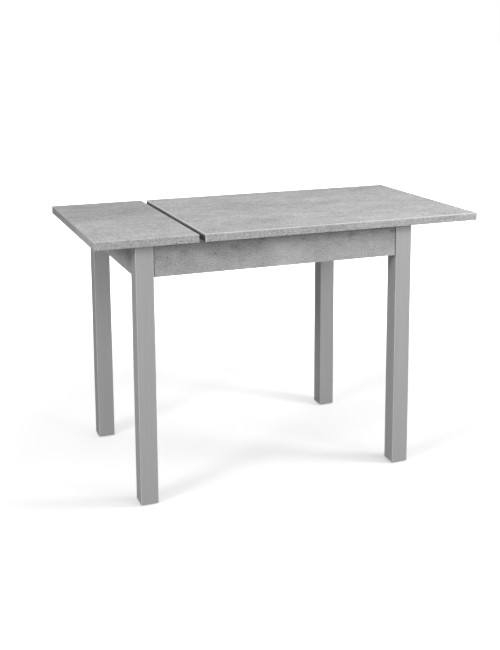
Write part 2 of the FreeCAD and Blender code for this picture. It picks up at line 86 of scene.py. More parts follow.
def empty_material(name):
    """A material with nothing in it but its shader and its output."""
    material = bpy.data.materials.new(name)
    material.use_nodes = True
    tree = material.node_tree
    tree.nodes.clear()
    shader = add(tree, "ShaderNodeBsdfPrincipled")
    add(tree, "ShaderNodeOutputMaterial", inputs={"Surface": shader.outputs["BSDF"]})
    return material, tree, shader


WHITE = paint("#ffffff")
COLOURS = {"data_type": "RGBA"}                         # settings of a Mix node that mixes colours
FACTOR, A, B, MIXED = 0, 6, 7, 2                        # and the numbers of its sockets
SMOOTH = {"interpolation_type": "SMOOTHSTEP"}           # settings of a Map Range that eases in and out
print("mid grey #808080 is", round(paint("#808080")[0], 3), "in linear light")

# %% [markdown]
# ## The camera
# The picture was taken from a little left of the table's front, from just above eye height of a person who
# sits, and its uprights are nearly parallel, as with a camera whose lens is shifted down. The values come
# from fitting a camera to the straight edges of the real table. A shift keeps the uprights straight where
# tilting the camera would make the legs lean together.

# %% Camera
IMAGE_HEIGHT = 650                                      # pixels of the longer side, the other side has 500
FOCAL_PIXELS = 1031.1
AXIS_ROW = 203.9                                        # picture row that the lens axis passes through
CAMERA_PLACE = (-1.1179, -2.8656, 1.2912)
CAMERA_TURN = (80.325, 0.306, -20.838)                  # degrees about X, Y and Z

camera = bpy.data.objects.new("camera", bpy.data.cameras.new("camera"))
bpy.context.scene.collection.objects.link(camera)
camera.location = CAMERA_PLACE
camera.rotation_euler = [math.radians(angle) for angle in CAMERA_TURN]
camera.data.lens = FOCAL_PIXELS / IMAGE_HEIGHT * camera.data.sensor_width
camera.data.shift_y = (AXIS_ROW - IMAGE_HEIGHT / 2) / IMAGE_HEIGHT
bpy.context.scene.camera = camera
print("lens", round(camera.data.lens, 2), "mm, shift", round(camera.data.shift_y, 3))

# %% [markdown]
# ## The floor
# The picture is a bright one: the floor is nearly pure white, and all that is left of the shadows are pale
# streaks at the foot of each leg. A floor as white as it looks would light the legs from below far more than
# the real ones are, and dimmer lamps would only grey the picture. So the floor is a mid grey that the camera
# alone sees as white, with a faint glow. It glows a little more under the table, where the top keeps the
# light off, and most of all far away, so that it melts into the room.

# %% Floor
FLOOR_REACH = 60.0                                      # metres from the middle to each side
FLOOR_LIT, FLOOR_SEEN = paint("#a0a0a1"), paint("#e3e3e4")
FLOOR_ROUGHNESS = 0.7
GLOW_NEAR, GLOW_FAR = 0.10, 1.5                         # what the camera sees added near by and far off
GLOW_START, GLOW_END = 0.7, 2.0                         # metres from the table where that glow grows
GLOW_UNDER = 0.42                                       # what is added under the table and behind it
UNDER_MIDDLE, UNDER_RADII = (-0.1, 0.35, 0.0), (1.9, 1.3, 1.0)     # metres


def studio_vinyl():
    """Grey studio vinyl, rolled matt: it gives the eye an even white. The glow is a smooth step of the
    distance from the table, plus one that falls from the middle of an ellipse to its rim."""
    material, tree, shader = empty_material("grey studio vinyl, matt rolled")
    shader.inputs["Roughness"].default_value = FLOOR_ROUGHNESS
    shader.inputs["Emission Color"].default_value = WHITE
    where = add(tree, "ShaderNodeTexCoord").outputs["Object"]
    distance = add(tree, "ShaderNodeVectorMath", {"operation": "LENGTH"}, {0: where}).outputs["Value"]
    open_glow = add(tree, "ShaderNodeMapRange", SMOOTH,
                    {"Value": distance, "From Min": GLOW_START, "From Max": GLOW_END,
                     "To Min": GLOW_NEAR, "To Max": GLOW_FAR}).outputs["Result"]
    in_ellipse = add(tree, "ShaderNodeMapping", {"vector_type": "TEXTURE"},
                     {"Vector": where, "Location": UNDER_MIDDLE, "Scale": UNDER_RADII}).outputs["Vector"]
    to_rim = add(tree, "ShaderNodeVectorMath", {"operation": "LENGTH"}, {0: in_ellipse}).outputs["Value"]
    under_glow = add(tree, "ShaderNodeMapRange", SMOOTH,
                     {"Value": to_rim, "To Min": GLOW_UNDER, "To Max": 0.0}).outputs["Result"]
    glow = add(tree, "ShaderNodeMath", {"operation": "ADD"}, {0: open_glow, 1: under_glow}).outputs[0]
    seen = add(tree, "ShaderNodeLightPath").outputs["Is Camera Ray"]
    shown = add(tree, "ShaderNodeMath", {"operation": "MULTIPLY"}, {0: glow, 1: seen})
    colour = add(tree, "ShaderNodeMix", COLOURS, {FACTOR: seen, A: FLOOR_LIT, B: FLOOR_SEEN})
    tree.links.new(colour.outputs[MIXED], shader.inputs["Base Color"])
    tree.links.new(shown.outputs[0], shader.inputs["Emission Strength"])
    return material


def white_floor():
    """A level square of four corners at height 0."""
    mesh = bpy.data.meshes.new("floor")
    signs = np.array([(-1, -1), (1, -1), (1, 1), (-1, 1)])
    corners = np.column_stack([signs * FLOOR_REACH, np.zeros(len(signs))])
    mesh.from_pydata(corners.tolist(), [], [(0, 1, 2, 3)])
    mesh.materials.append(studio_vinyl())
    floor = bpy.data.objects.new("floor", mesh)
    bpy.context.scene.collection.objects.link(floor)
    return floor


studio_floor = white_floor()
print("floor of", studio_floor.data.materials[0].name)

# %% [markdown]
# ## The room
# In a white studio most of the light comes back from the walls. A picture of a studio could be wrapped
# around the scene for that, but two smooth blends are enough: the walls shine more towards the right, and
# from a little above level they pass into a dim ceiling. The camera sees plain white all around.

# %% Room
ROOM_WALL, ROOM_CEILING, ROOM_SEEN = 1.26, 0.12, 1.0    # light from the sides, from above, and as seen
ROOM_LEAN = (0.74, 0.0, 0.0)                            # how the walls' light grows with the direction
WALL_TOP, CEILING_START = 0.15, 0.55                    # height of a direction, 0 level and 1 straight up


def white_room():
    """The world. Its walls shine with ROOM_WALL (1 + direction . ROOM_LEAN), and from WALL_TOP to
    CEILING_START they pass smoothly into the ceiling."""
    world = bpy.data.worlds.new("white room")
    world.use_nodes = True
    tree = world.node_tree
    tree.nodes.clear()
    where = add(tree, "ShaderNodeTexCoord").outputs["Generated"]
    height = add(tree, "ShaderNodeSeparateXYZ", inputs={"Vector": where}).outputs["Z"]
    above = add(tree, "ShaderNodeMapRange", SMOOTH,
                {"Value": height, "From Min": WALL_TOP, "From Max": CEILING_START}).outputs["Result"]
    lean = add(tree, "ShaderNodeVectorMath", {"operation": "DOT_PRODUCT"}, {0: where, 1: ROOM_LEAN})
    wall = add(tree, "ShaderNodeMath", {"operation": "MULTIPLY_ADD"},
               {0: lean.outputs["Value"], 1: ROOM_WALL, 2: ROOM_WALL})
    light = add(tree, "ShaderNodeMix", inputs={"Factor": above, "A": wall.outputs[0], "B": ROOM_CEILING})
    seen = add(tree, "ShaderNodeLightPath").outputs["Is Camera Ray"]
    strength = add(tree, "ShaderNodeMix",
                   inputs={"Factor": seen, "A": light.outputs["Result"], "B": ROOM_SEEN})
    room = add(tree, "ShaderNodeBackground",
               inputs={"Color": WHITE, "Strength": strength.outputs["Result"]})
    add(tree, "ShaderNodeOutputWorld", inputs={"Surface": room.outputs["Background"]})
    return world


bpy.context.scene.world = white_room()
bpy.context.scene.view_settings.view_transform = "Standard"        # tones as they are, with no film curve
print("world:", bpy.context.scene.world.name)

# %% [markdown]
# ## The lamps
# The streaks at each leg point back to three lamps: a far one at the left, one at the front right and a near
# one at the right. They are square boxes, because a bare bulb would cut its streaks out sharply. A very broad
# soft box over the table lights the tops, and a low one at the left lights the left faces of the nearest
# legs.

# %% Lamps
LAMPS = {
    # name: place in metres, side of its square box in metres, watts
    "left_lamp": ((-3.1, -1.55, 2.0), 0.8, 39),
    "front_lamp": ((1.4, -2.04, 1.6), 0.6, 9),
    "right_lamp": ((1.5, -0.9, 1.6), 0.45, 17),
    "side_box": ((-1.7, -0.7, 0.9), 0.8, 2.2),
    "top_box": ((-0.15, -0.5, 3.0), 3.0, 48),
}
LAMP_AIM = Vector((0, 0, 0.5))


def soft_box(name, place, side, watts):
    """A square lamp at a place, turned to the table."""
    light = bpy.data.lights.new(name, "AREA")
    light.shape = "SQUARE"
    light.size = side
    light.energy = watts
    lamp = bpy.data.objects.new(name, light)
    bpy.context.scene.collection.objects.link(lamp)
    lamp.location = place
    lamp.rotation_euler = (LAMP_AIM - Vector(place)).to_track_quat("-Z", "Y").to_euler()
    return lamp


for lamp_name, values in LAMPS.items():
    soft_box(lamp_name, *values)
print(len(LAMPS), "lamps")

# %% [markdown]
# ## Concrete print
# The boards are chipboard under a melamine sheet that carries a printed picture of trowelled concrete. A
# print could be painted as an image, but then it would have one size and one edge. Instead it is built up
# from noise of several sizes, each taken from what shows on the board: broad clouds, blotches, the streaks
# that the trowel leaves along the tops and up the aprons, grit and speckle. All of them read Object
# coordinates, so the print runs on from board to board and never repeats.

# %% The print, as a recipe that boards and edge bands share
PRINT_LAYERS = [
    # what it is, which kind, size along the board and across it in mm, detail, share of the tone
    ("clouds", "soft", 260, 150, 4.0, 0.80),
    ("blotches", "soft", 60, 36, 3.0, 0.55),
    ("trowel streaks", "streaks", 100, 14, 2.0, 0.50),
    ("grit", "grit", 8, 12, 1.0, 0.50),
    ("speckle", "speckle", 3.6, 8.0, 0.0, 0.65),        # about 1 mm on the real print, too fine to show
]
PRINT_KINDS = ("soft", "streaks", "grit", "speckle")
PRINTS = {
    # where it is used: darkest and lightest tone, and the strength of each kind of layer
    "top": ("#727273", "#c1c1c2", (1.0, 0.6, 1.25, 1.25)),
    "leaf": ("#79797a", "#cbcbcc", (1.0, 0.6, 1.25, 1.25)),
    "apron": ("#767677", "#c8c8c9", (1.15, 0.3, 0.2, 1.75)),
    "band": ("#787879", "#c8c8c9", (0.9, 0.4, 0.5, 2.0)),
}
LEVEL_USES, GRAIN_KINDS = ("top", "leaf"), ("grit", "speckle")
UPRIGHT_GRAIN = (0.72, 0.4)                             # share of a grain's sizes on boards seen square on
NOISE_MEAN, TONE_MEAN, NOISE_ROUGHNESS = 0.5, 0.5, 0.6


def stretched_noise(tree, title, along, length, width, detail):
    """Noise whose grains are length by width mm, with the length along one axis. Its value is 0 to 1."""
    per_metre = [1 / (width * MM)] * 3
    per_metre["XYZ".index(along)] = 1 / (length * MM)
    where = add(tree, "ShaderNodeTexCoord").outputs["Object"]
    placed = add(tree, "ShaderNodeMapping", {"label": title}, {"Vector": where, "Scale": per_metre})
    return add(tree, "ShaderNodeTexNoise", {"label": title},
               {"Vector": placed.outputs["Vector"], "Scale": 1.0, "Detail": detail,
                "Roughness": NOISE_ROUGHNESS}).outputs["Fac"]


def concrete_print(tree, use, along, trowel):
    """The print's colour and its speckle, for a board whose length runs along one axis and its streaks along
    another. The tone is its mean plus each noise's distance from its own mean times its share."""
    dark, light, strengths = PRINTS[use]
    tone = TONE_MEAN
    for title, kind, length, width, detail, share in PRINT_LAYERS:
        smaller = kind in GRAIN_KINDS and use not in LEVEL_USES
        length_share, width_share = UPRIGHT_GRAIN if smaller else (1, 1)
        noise = stretched_noise(tree, title, trowel if kind == "streaks" else along,
                                length * length_share, width * width_share, detail)
        centred = add(tree, "ShaderNodeMath", {"operation": "SUBTRACT"}, {0: noise, 1: NOISE_MEAN})
        strength = share * strengths[PRINT_KINDS.index(kind)]
        tone = add(tree, "ShaderNodeMath", {"operation": "MULTIPLY_ADD", "label": title},
                   {0: centred.outputs[0], 1: strength, 2: tone}).outputs[0]
    speckle = noise                                     # the last layer is the finest
    colour = add(tree, "ShaderNodeMix", COLOURS, {FACTOR: tone, A: paint(dark), B: paint(light)})
    return colour.outputs[MIXED], speckle


print("print layers:", [layer[0] for layer in PRINT_LAYERS])

# %% [markdown]
# ## Marks of use
# A print alone looks new. The real boards have pits, light scuffs and stains where hands take hold. Each
# could be drawn as a decal in its own place, but that would only copy the marks of one table. So pits, scuffs
# and patches of stain come from noise. What belongs to a place comes from a ramp: a value that grows from one
# place along an axis to another. Apart from the one that places the stains, these ramps carry painted light
# and painted shade, for example the darkening in the joints at the aprons' ends, and the stains' dark grey is
# also used for that painted shade.

# %% Scuffs, pits, stains and painted shade
# the last colour is a dark grey that darkens the stains, and that elsewhere is painted shade
SCUFF_COLOUR, PIT_COLOUR, GRIME_AND_SHADE_COLOUR = paint("#cdcdcd"), paint("#4c4c4d"), paint("#4a4a4b")
SCUFF_LENGTH, SCUFF_WIDTH = 34, 7                       # mm
SCUFF_START, SCUFF_FULL = 0.66, 0.78                    # values of the noise where a scuff begins and is full
SCUFF_SHARE = {"top": 0.5, "leaf": 0.5, "apron": 0.2, "band": 0.2}
PIT_SPACING, PIT_RADIUS = 17, 2.0                       # mm
PIT_LIMIT = 0.38                                        # a cell has a pit where its random value is lower
PIT_BOTTOM = 0.7                                        # share of a pit's radius that is dark all over
STAIN_LENGTH, STAIN_HEIGHT = 50, 26                     # mm
STAIN_START, STAIN_FULL = 0.5, 0.7                      # values of the noise, as for the scuffs
STAIN_RAMP = ("Z", 675, 724, 0.55)                      # stains lie high on the aprons, where hands reach in


def with_scuffs(tree, colour, along, most):
    """A colour with pale strokes, where a stretched noise is high."""
    strokes = stretched_noise(tree, "scuffs", along, SCUFF_LENGTH, SCUFF_WIDTH, detail=1.0)
    scuff = add(tree, "ShaderNodeMapRange", SMOOTH,
                {"Value": strokes, "From Min": SCUFF_START, "From Max": SCUFF_FULL, "To Max": most})
    mix = add(tree, "ShaderNodeMix", COLOURS, {FACTOR: scuff.outputs["Result"], A: colour, B: SCUFF_COLOUR})
    return mix.outputs[MIXED]


def with_pits(tree, colour):
    """A colour with dark round pits, in the middle of some cells of a random pattern."""
    where = add(tree, "ShaderNodeTexCoord").outputs["Object"]
    cells = add(tree, "ShaderNodeTexVoronoi", {"label": "pits"},
                {"Vector": where, "Scale": 1 / (PIT_SPACING * MM)})
    chosen = add(tree, "ShaderNodeMath", {"operation": "LESS_THAN"},
                 {0: cells.outputs["Color"], 1: PIT_LIMIT})
    radius = PIT_RADIUS / PIT_SPACING
    pit = add(tree, "ShaderNodeMapRange", SMOOTH,
              {"Value": cells.outputs["Distance"], "From Min": PIT_BOTTOM * radius, "From Max": radius,
               "To Min": chosen.outputs[0], "To Max": 0.0})
    mix = add(tree, "ShaderNodeMix", COLOURS, {FACTOR: pit.outputs["Result"], A: colour, B: PIT_COLOUR})
    return mix.outputs[MIXED]


def ramps_by_place(tree, ramps, largest=0.0):
    """The largest of a first value and several ramps. A ramp is an axis, the place in mm where it leaves 0,
    the place where it is full, and its full value."""
    for axis, start, full, most in ramps:
        where = add(tree, "ShaderNodeTexCoord").outputs["Object"]
        place = add(tree, "ShaderNodeSeparateXYZ", inputs={"Vector": where}).outputs[axis]
        ramp = add(tree, "ShaderNodeMapRange", SMOOTH,
                   {"Value": place, "From Min": start * MM, "From Max": full * MM, "To Max": most})
        largest = add(tree, "ShaderNodeMath", {"operation": "MAXIMUM"},
                      {0: largest, 1: ramp.outputs["Result"]}).outputs[0]
    return largest


def with_grime_and_shade(tree, colour, share):
    """A colour with a share of a dark grey over it: stains where the noise calls for them, painted shade where
    a ramp by place does.
    """
    mix = add(tree, "ShaderNodeMix", COLOURS, {FACTOR: share, A: colour, B: GRIME_AND_SHADE_COLOUR})
    return mix.outputs[MIXED]


def stains(tree, along):
    """The share of stain colour in patches: noise above its mean, times a ramp that grows up to the table's
    top.
    """
    noise = stretched_noise(tree, "stains", along, STAIN_LENGTH, STAIN_HEIGHT, detail=2.0)
    patch = add(tree, "ShaderNodeMapRange", SMOOTH,
                {"Value": noise, "From Min": STAIN_START, "From Max": STAIN_FULL})
    return add(tree, "ShaderNodeMath", {"operation": "MULTIPLY"},
               {0: patch.outputs["Result"], 1: ramps_by_place(tree, [STAIN_RAMP])}).outputs[0]


def used_print(tree, use, along, trowel, painted_shade):
    """The print with its scuffs, its pits and its painted shade by place, and the print's speckle."""
    colour, speckle = concrete_print(tree, use, along, trowel)
    colour = with_scuffs(tree, colour, along, SCUFF_SHARE[use])
    colour = with_pits(tree, colour)
    if painted_shade:
        colour = with_grime_and_shade(tree, colour, ramps_by_place(tree, painted_shade))
    return colour, speckle


print("a pit is", 2 * PIT_RADIUS, "mm across, and a scuff", SCUFF_LENGTH, "mm long")

# %% [markdown]
# ## Melamine boards
# Melamine is pressed against a matt steel plate, so it has a dry, even sheen that breaks up in the finest
# grain. One value could stand for that gloss, but then the board would look like plastic film. So roughness
# and a very shallow bump both follow the print's own speckle. The aprons carry painted shade: they are darker
# in their upper part, where the top overhangs them, and in the joints at their ends. The leaf carries painted
# shade as well: one broad ramp darkens its far end, where the light falls off.

# %% Boards
BUMP_STRENGTH = 0.5
MELAMINE_SURFACE = (0.48, 0.66, 0.05, 1.5)              # least and most roughness, bump in mm, IOR
APRON_ENDS = {"X": (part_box("apron_front")[0][0] / MM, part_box("apron_front")[1][0] / MM),
              "Y": (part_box("apron_left")[0][1] / MM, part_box("apron_left")[1][1] / MM)}
JOINT_SHADE_WIDTH = 2.5                                       # mm of each end darkened by painted shade in the joint
APRON_PAINTED_SHADE = ("Z", 640, 735, 0.35)                     # painted shade, darker upwards under the overhang of the top
# painted shade: the leaf darker towards its far end, as the light falls off
LEAF_PAINTED_SHADE = ("Y", -330, 330, 0.33)


def set_surface(tree, shader, colour, height, smooth, rough, depth, ior):
    """Links a colour, a roughness that goes between two values with the height, and a bump of a depth in mm.
    A metal has no IOR here, and keeps the default."""
    roughness = add(tree, "ShaderNodeMapRange", inputs={"Value": height, "To Min": smooth, "To Max": rough})
    bump = add(tree, "ShaderNodeBump",
               inputs={"Height": height, "Strength": BUMP_STRENGTH, "Distance": depth * MM})
    tree.links.new(colour, shader.inputs["Base Color"])
    tree.links.new(roughness.outputs["Result"], shader.inputs["Roughness"])
    tree.links.new(bump.outputs["Normal"], shader.inputs["Normal"])
    if ior:
        shader.inputs["IOR"].default_value = ior


def concrete_melamine(use, along, trowel, painted_shade=()):
    """Concrete-print melamine on chipboard, pressed with a matt plate: it gives the eye a soft, dry grey."""
    material, tree, shader = empty_material(f"concrete-print melamine, matt pressed, {use} along {along}")
    colour, speckle = used_print(tree, use, along, trowel, painted_shade)
    if use == "apron":
        colour = with_grime_and_shade(tree, colour, stains(tree, along))
    set_surface(tree, shader, colour, speckle, *MELAMINE_SURFACE)
    return material


def apron_melamine(axis, low, high):
    """The finish of the aprons along one axis, from their low end to their high end in mm, with painted shade
    in the joints at both ends and towards the top.
    """
    joints = [(axis, low + JOINT_SHADE_WIDTH, low, 1.0), (axis, high - JOINT_SHADE_WIDTH, high, 1.0)]
    return concrete_melamine("apron", axis, "Z", [*joints, APRON_PAINTED_SHADE])


TOP_BOARDS = {"main_top_panel": concrete_melamine("top", "X", "X"),
              "leaf_panel": concrete_melamine("leaf", "X", "X", [LEAF_PAINTED_SHADE])}
APRON_BOARD = {axis: apron_melamine(axis, *ends) for axis, ends in APRON_ENDS.items()}
print("board finishes:", [board.name for board in (*TOP_BOARDS.values(), *APRON_BOARD.values())])

# %% [markdown]
# ## Printed edge band
# The cut edges of the boards are closed with a plastic band printed with the same concrete, a little paler.
# Its arrises are rounded by a scraper and show as a pale dotted line: partly print that the scraper thinned,
# partly a painted highlight of the light that the rounded arrises catch. They could be marked by hand on each
# band, but the surface's own normal n finds them: 2 (1 - nx^4 - ny^4 - nz^4) is 1 where the normal stands at
# 45 degrees between two axes, and 0 on a flat face. Three bands get ramps by place too, and these are painted
# light and shade. The one that faces the gap has a painted highlight along its top and painted shade lower
# down, deeper in the gap. The main top's front band has a painted highlight along its top and at the corner by
# the gap. The band on the leaf's end is painted paler towards the front and darker towards the back, as the
# light falls off along it.

# %% Edge bands
# the pale colour of the bands' arrises: print thinned by the scraper, and painted highlight
PALE_WEAR_AND_HIGHLIGHT = paint("#dcdcdc")
DOT_SIZE = 7                                            # mm between the dots of the worn line
DOT_START, DOT_FULL = 0.3, 0.7                          # values of the noise, as for the scuffs
BAND_WEAR_AND_HIGHLIGHT = 0.6                                         # share of the pale colour on a band's edges: thinned print and painted highlight
BAND_SURFACE = (0.4, 0.55, 0.04, 1.53)                  # least and most roughness, bump in mm, IOR


def rounded_edges(tree):
    """2 - 2 (nx^4 + ny^4 + nz^4) of the surface's own normal: 1 halfway round an edge, 0 on a flat face."""
    normal = add(tree, "ShaderNodeTexCoord").outputs["Normal"]
    squares = add(tree, "ShaderNodeVectorMath", {"operation": "MULTIPLY"},
                  {0: normal, 1: normal}).outputs["Vector"]
    fourths = add(tree, "ShaderNodeVectorMath", {"operation": "DOT_PRODUCT"}, {0: squares, 1: squares})
    return add(tree, "ShaderNodeMath", {"operation": "MULTIPLY_ADD"},
               {0: fourths.outputs["Value"], 1: -2.0, 2: 2.0}).outputs[0]


def edge_band(title, along, wear_and_highlight, painted_light_ramps=(), painted_shade=()):
    """Printed plastic edge band, scraped and buffed: it gives the eye the print, framed by pale dotted lines
    that are partly thinned print and partly painted highlight. The share of the pale colour goes from the
    given share squared between the dots to that share on them."""
    material, tree, shader = empty_material(f"printed plastic edge band, scraped, {title}")
    colour, speckle = used_print(tree, "band", along, along, painted_shade)
    # painted highlight and thinned print on the rounded edges, and painted light from the ramps
    pale_places = ramps_by_place(tree, painted_light_ramps, rounded_edges(tree))
    dots = stretched_noise(tree, "dots", along, DOT_SIZE, DOT_SIZE, detail=1.0)
    dotted = add(tree, "ShaderNodeMapRange",
                 inputs={"Value": dots, "From Min": DOT_START, "From Max": DOT_FULL,
                         "To Min": wear_and_highlight * wear_and_highlight, "To Max": wear_and_highlight}).outputs["Result"]
    share = add(tree, "ShaderNodeMath", {"operation": "MULTIPLY"}, {0: pale_places, 1: dotted}).outputs[0]
    mix = add(tree, "ShaderNodeMix", COLOURS, {FACTOR: share, A: colour, B: PALE_WEAR_AND_HIGHLIGHT})
    set_surface(tree, shader, mix.outputs[MIXED], speckle, *BAND_SURFACE)
    return material


BAND = {axis: edge_band(f"along {axis}", axis, BAND_WEAR_AND_HIGHLIGHT) for axis in "XY"}
OWN_BAND = {
    # node: title, axis, share of the pale colour, ramps of painted light, ramps of painted shade
    # painted paler towards the front and darker towards the back, as the light falls off
    "leaf_band_left": edge_band("of the leaf's end", "Y", BAND_WEAR_AND_HIGHLIGHT,
                                [("Y", 100, -300, 0.45)], [("Y", -50, 300, 0.28)]),
    # painted highlight along the top arris, and painted shade lower down in the gap
    "main_top_band_left": edge_band("at the gap", "Y", 0.95,
                                    [("Z", 746, 749, 1.0)], [("Z", 747, 741, 1.0)]),
    # painted highlight along the top and at the corner by the gap
    "main_top_band_front": edge_band("with a worn corner", "X", 0.8,
                                     [("X", -267, -270, 0.75), ("Z", 746, 749, 0.7)]),
}
print("band finishes:", [band.name for band in (*BAND.values(), *OWN_BAND.values())])

# %% [markdown]
# ## Sprayed lacquer
# The legs are solid wood, sanded and sprayed with grey satin lacquer. Three things give such paint away: the
# faint grain that still shows through along the leg, the fine orange peel that the spray leaves, and the pale
# line where the rounded edges catch the light, which is painted in here as a highlight. A plain grey would do
# from far off, but not close by. The grain and the peel are noise, and the painted highlight on the edges is
# found from the normal, as on the bands.

# %% Painted legs
# the third colour is a painted highlight on the legs' rounded edges
LACQUER_DARK, LACQUER_LIGHT, LACQUER_EDGE_HIGHLIGHT = paint("#a6a6a6"), paint("#b0b0b0"), paint("#e4e4e4")
EDGE_HIGHLIGHT_SHARE = 0.7
GRAIN_WIDTH, GRAIN_LENGTH, PEEL = 7, 400, 2.5           # mm
LACQUER_SURFACE = (0.36, 0.46, 0.02, 1.49)              # least and most roughness, bump in mm, IOR


def sprayed_lacquer():
    """Grey acrylic lacquer, sprayed on wood: plain satin grey, with the grain as a breath of tone along Z and
    a painted highlight on the rounded edges.
    """
    material, tree, shader = empty_material("grey acrylic lacquer, sprayed on wood")
    grain = stretched_noise(tree, "grain", "Z", GRAIN_LENGTH, GRAIN_WIDTH, detail=2.0)
    peel = stretched_noise(tree, "orange peel", "Z", PEEL, PEEL, detail=0.0)
    # painted highlight: the rounded edges get a share of the pale colour
    edge_highlight = add(tree, "ShaderNodeMath", {"operation": "MULTIPLY"}, {0: rounded_edges(tree), 1: EDGE_HIGHLIGHT_SHARE})
    plain = add(tree, "ShaderNodeMix", COLOURS, {FACTOR: grain, A: LACQUER_DARK, B: LACQUER_LIGHT})
    colour = add(tree, "ShaderNodeMix", COLOURS,
                 {FACTOR: edge_highlight.outputs[0], A: plain.outputs[MIXED], B: LACQUER_EDGE_HIGHLIGHT})
    set_surface(tree, shader, colour.outputs[MIXED], peel, *LACQUER_SURFACE)
    return material


LACQUER = sprayed_lacquer()
print("leg finish:", LACQUER.name)

# %% [markdown]
# ## Planed beech
# The rails, the runners and the dowels are beech. It is left bare, because rails and runners rub on each
# other, and dowels are glued in. New beech is pinkish brown, and dust and handling turn it greyer. It has soft
# rings and thousands of short dark flecks, all in line with the grain. The rings could be real cylinders cut
# by the board, but these pieces are narrow and hidden, so rings and flecks are both noise stretched along X,
# the way that the rails and runners run.

# %% Bare beech
BEECH_LIGHT, BEECH_DARK, FLECK_COLOUR = paint("#a49c92"), paint("#908980"), paint("#6b655f")
RING_LENGTH, RING_WIDTH = 180, 5                        # mm
FLECK_LENGTH, FLECK_WIDTH = 3, 0.5                      # mm
FLECK_START, FLECK_FULL = 0.6, 0.72                     # values of the noise, as for the scuffs
FLECK_SHARE = 0.7
BEECH_SURFACE = (0.5, 0.62, 0.05, 1.5)                  # least and most roughness, bump in mm, IOR


def planed_beech():
    """Beech, planed and left bare: dry and greyed, with rings as soft bands and rays as dark flecks."""
    material, tree, shader = empty_material("beech, planed and bare")
    rings = stretched_noise(tree, "rings", "X", RING_LENGTH, RING_WIDTH, detail=2.0)
    rays = stretched_noise(tree, "flecks", "X", FLECK_LENGTH, FLECK_WIDTH, detail=0.0)
    fleck = add(tree, "ShaderNodeMapRange", SMOOTH,
                {"Value": rays, "From Min": FLECK_START, "From Max": FLECK_FULL, "To Max": FLECK_SHARE})
    wood = add(tree, "ShaderNodeMix", COLOURS, {FACTOR: rings, A: BEECH_LIGHT, B: BEECH_DARK})
    colour = add(tree, "ShaderNodeMix", COLOURS,
                 {FACTOR: fleck.outputs["Result"], A: wood.outputs[MIXED], B: FLECK_COLOUR})
    set_surface(tree, shader, colour.outputs[MIXED], rays, *BEECH_SURFACE)
    return material


BEECH = planed_beech()
print("wood finish:", BEECH.name)

# %% [markdown]
# ## Hardware
# The plates, bolts and screws are steel with a bright zinc plating, whose fine grain blurs what it mirrors.
# The glides are moulded black plastic with a fine spark-eroded texture, and the buffers are dull black rubber
# with a dusty bloom. They are small and under the table, but anyone who turns it over sees them. Each could
# have its own recipe, but tone, gloss and surface follow one grain in all three, so one recipe serves.

# %% Steel, plastic and rubber
HARDWARE = {
    # slot: real material, darker and lighter tone, metallic, grain in mm,
    # and its surface: least and most roughness, bump in mm, IOR
    "zinc_steel": ("zinc-plated steel, bright", "#b4b8bc", "#d2d5d6", 1.0, 1.2,
                   (0.24, 0.42, 0.01, None)),
    "glide_plastic": ("polyethylene, moulded black", "#161617", "#242425", 0.0, 0.6,
                      (0.42, 0.58, 0.03, 1.51)),
    "buffer_rubber": ("rubber, pressed black", "#121212", "#2b2b2a", 0.0, 1.5,
                      (0.72, 0.9, 0.02, 1.52)),
}


def hardware_finish(title, dark, light, metallic, grain, surface):
    """A metal, plastic or rubber whose tone, gloss and surface all follow one grain of a size in mm."""
    material, tree, shader = empty_material(title)
    grains = stretched_noise(tree, "grain", "X", grain, grain, detail=2.0)
    colour = add(tree, "ShaderNodeMix", COLOURS, {FACTOR: grains, A: paint(dark), B: paint(light)})
    set_surface(tree, shader, colour.outputs[MIXED], grains, *surface)
    shader.inputs["Metallic"].default_value = metallic
    return material


SLOT_FINISH = {slot: hardware_finish(*values) for slot, values in HARDWARE.items()}
SLOT_FINISH.update({"painted_wood": LACQUER, "beech": BEECH})
print("slot finishes:", list(SLOT_FINISH))

# %% [markdown]
# ## Dress the solids
# Each solid takes the finish of its record slot. That could be a long list of names, but the record says the
# slot of every piece. Only the print and the bands also need to know which way their board runs: the pieces
# of the two short sides run along Y, and all others along X.

# %% Give every solid its finish
def finish_for(name, slot):
    """The finish of one solid, from its name and its slot."""
    along = "Y" if name.endswith(("left", "right")) else "X"
    if slot == "edge_band":
        return OWN_BAND.get(name, BAND[along])
    if slot == "laminate_board":
        return TOP_BOARDS.get(name, APRON_BOARD[along])
    return SLOT_FINISH[slot]


for part in frame["record"]["subparts"]:
    mesh = NODES[part["node"]].data
    mesh.materials.clear()
    mesh.materials.append(finish_for(part["node"], part["material_slot"]))

# %% [markdown]
# ## Places of the bolts
# A corner plate is drawn to its leg by a hanger bolt with a nut, and both of these are turned about one axis.
# The four axes could be typed in, but they follow from the legs: each bolt leaves the corner of its leg that
# is nearest to the middle of the frame, level and at 45 degrees. A turned piece is then a grid of rows along
# the axis and columns around it, and all four copies are worked out at once.

# %% Axes, turned grids and pieces
LEG_NAMES = [name for name in NODES if name.startswith("leg_")]


def bolt_axes():
    """Where each bolt leaves its leg, its direction, and the level direction across it. It leaves at the
    leg's corner nearest to the middle of the frame, and points inwards at 45 degrees."""
    boxes = np.array([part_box(name) for name in LEG_NAMES])
    middle = boxes.mean((0, 1))
    low, high = boxes[:, 0], boxes[:, 1]
    start = np.where(np.abs(low - middle) < np.abs(high - middle), low, high)
    start[:, 2] = np.mean(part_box("hanger_bolts"), axis=0)[2]
    ahead = np.sign(middle - start) * (math.sqrt(0.5), math.sqrt(0.5), 0)
    across = np.column_stack([-ahead[:, 1], ahead[:, 0], np.zeros(len(ahead))])
    return start, ahead, across


